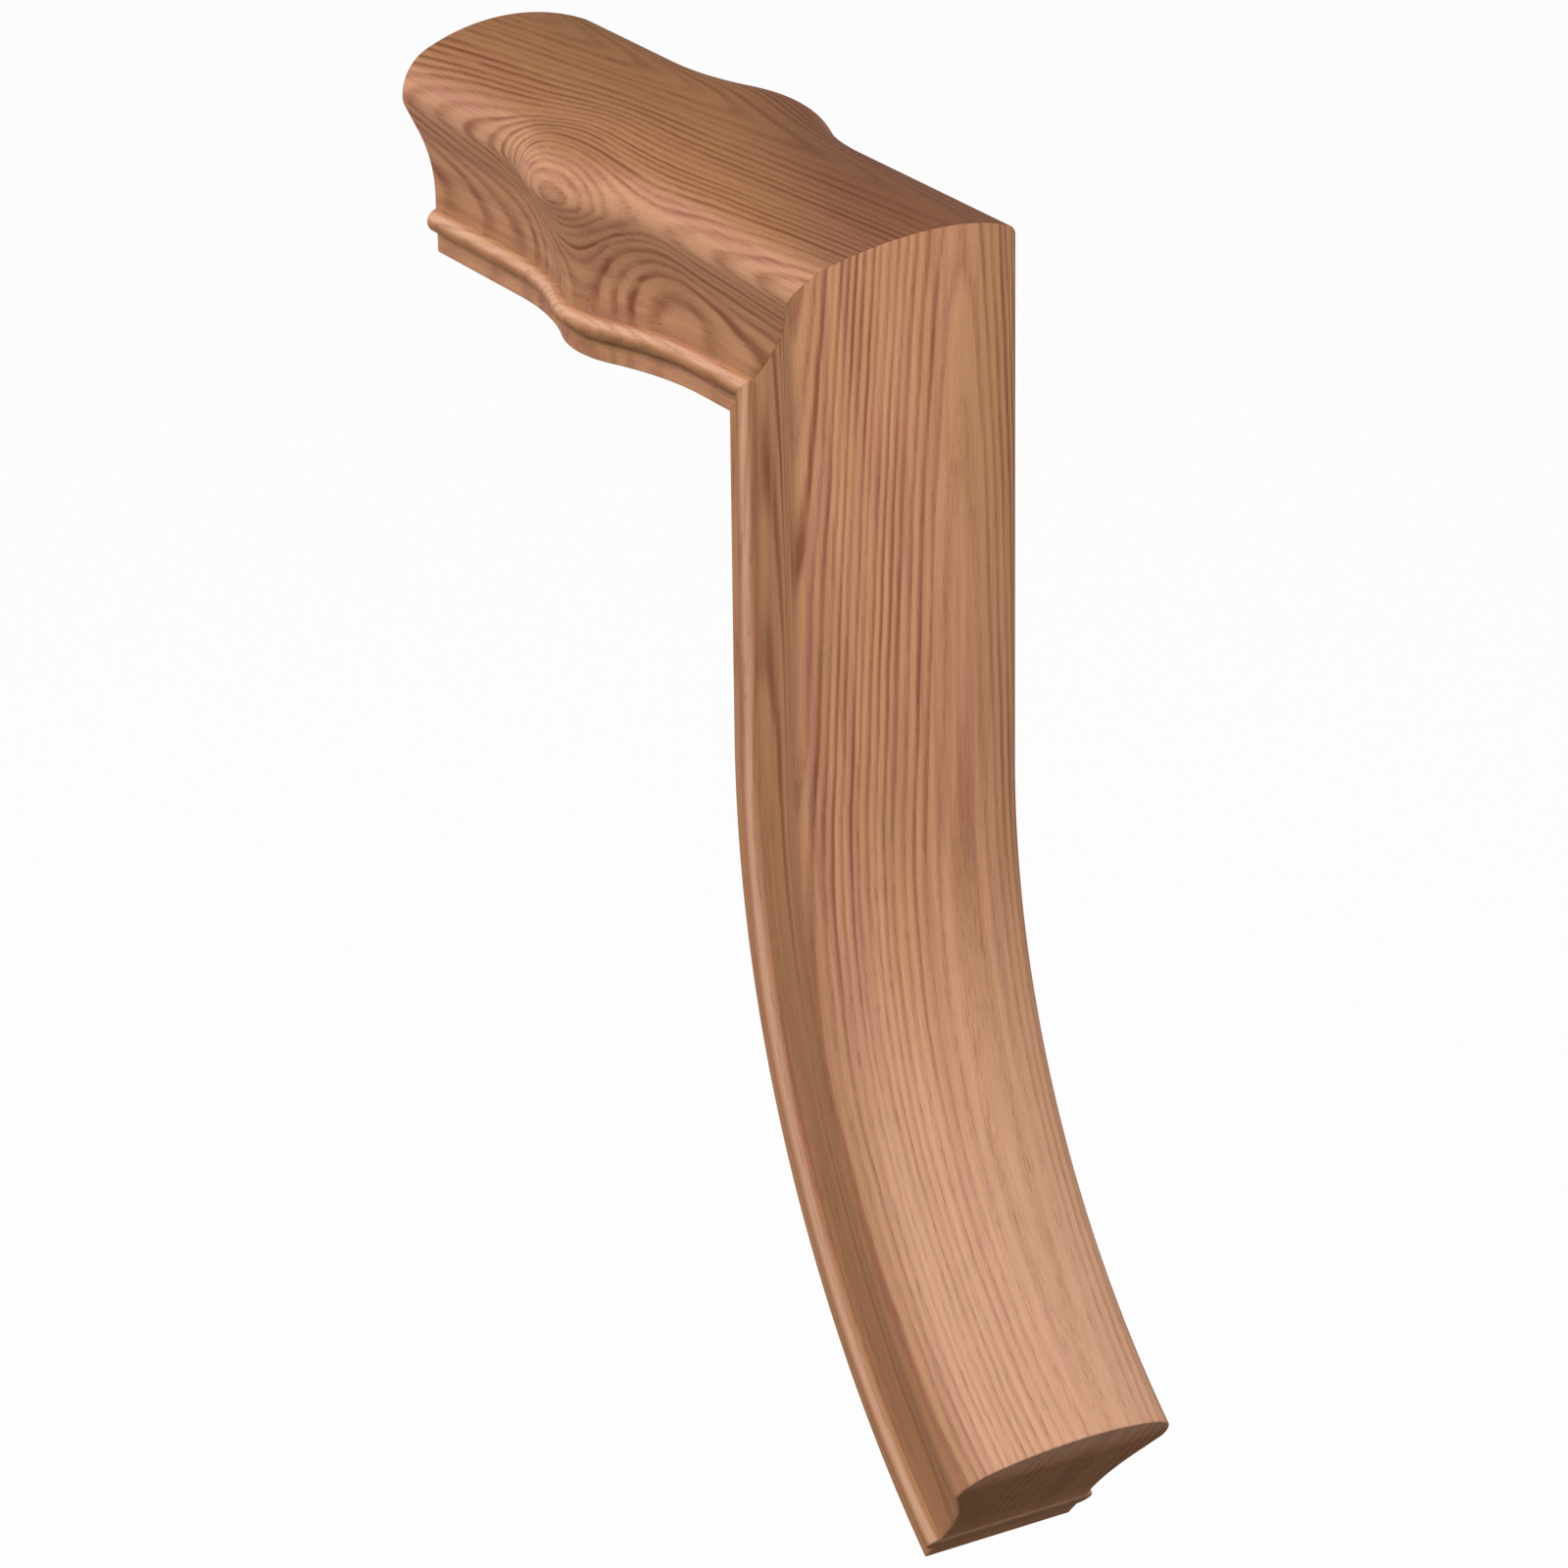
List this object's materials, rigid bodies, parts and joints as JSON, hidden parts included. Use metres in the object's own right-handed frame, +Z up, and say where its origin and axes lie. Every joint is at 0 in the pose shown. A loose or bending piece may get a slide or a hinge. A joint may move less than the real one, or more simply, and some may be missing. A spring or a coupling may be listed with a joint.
{
  "type": "handrail gooseneck fitting",
  "caption": "Moulded wooden handrail gooseneck: a level rail with a round newel cap, mitred to a vertical drop that eases into the rake of a stair.",
  "frame": {"origin": "middle of the newel pin bore's mouth, on the flat underside of the cap", "axes": "+X along the level rail from the cap towards the drop, +Y across the rail, +Z up"},
  "size_m": [0.2926, 0.0864, 0.3664],
  "materials": {
    "red_oak": "bare red oak, sanded, satin",
    "dowel_beech": "plain fluted dowel stock"
  },
  "bodies": {
    "root": {"cap_rail": "red_oak", "drop_easing": "red_oak", "mitre_dowels": "dowel_beech"}
  },
  "joints": []
}
